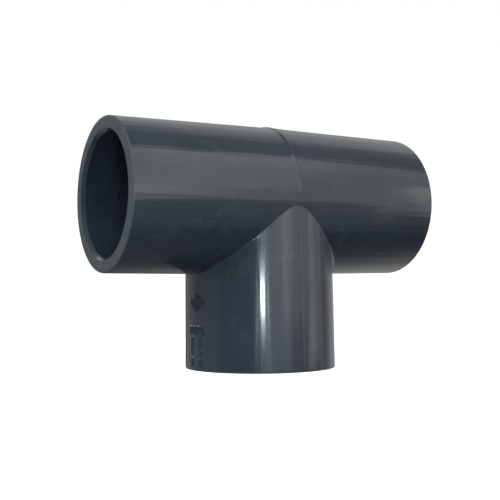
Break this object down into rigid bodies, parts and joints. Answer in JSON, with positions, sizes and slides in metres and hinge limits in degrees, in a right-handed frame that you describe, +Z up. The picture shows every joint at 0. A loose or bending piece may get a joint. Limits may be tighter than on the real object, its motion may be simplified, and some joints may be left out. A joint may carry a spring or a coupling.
{
  "type": "plain socket pipe tee",
  "caption": "Equal tee with plain solvent-cement sockets on the run and the branch, moulded in dark grey PVC-U for pressure pipe.",
  "frame": {"origin": "centre of the branch mouth, on the surface the fitting stands on", "axes": "+X along the run towards the right run mouth, +Y across the run, away from the side the picture shows, +Z up the branch towards the run"},
  "size_m": [0.138, 0.0626, 0.1003],
  "materials": {
    "pvc_u_grey": "injection-moulded PVC-U, dark blue-grey, glossy outside, slightly matter on the mouth faces"
  },
  "bodies": {
    "root": {"centre_body": "pvc_u_grey", "left_run_socket": "pvc_u_grey", "right_run_socket": "pvc_u_grey", "branch_socket": "pvc_u_grey"}
  },
  "joints": []
}
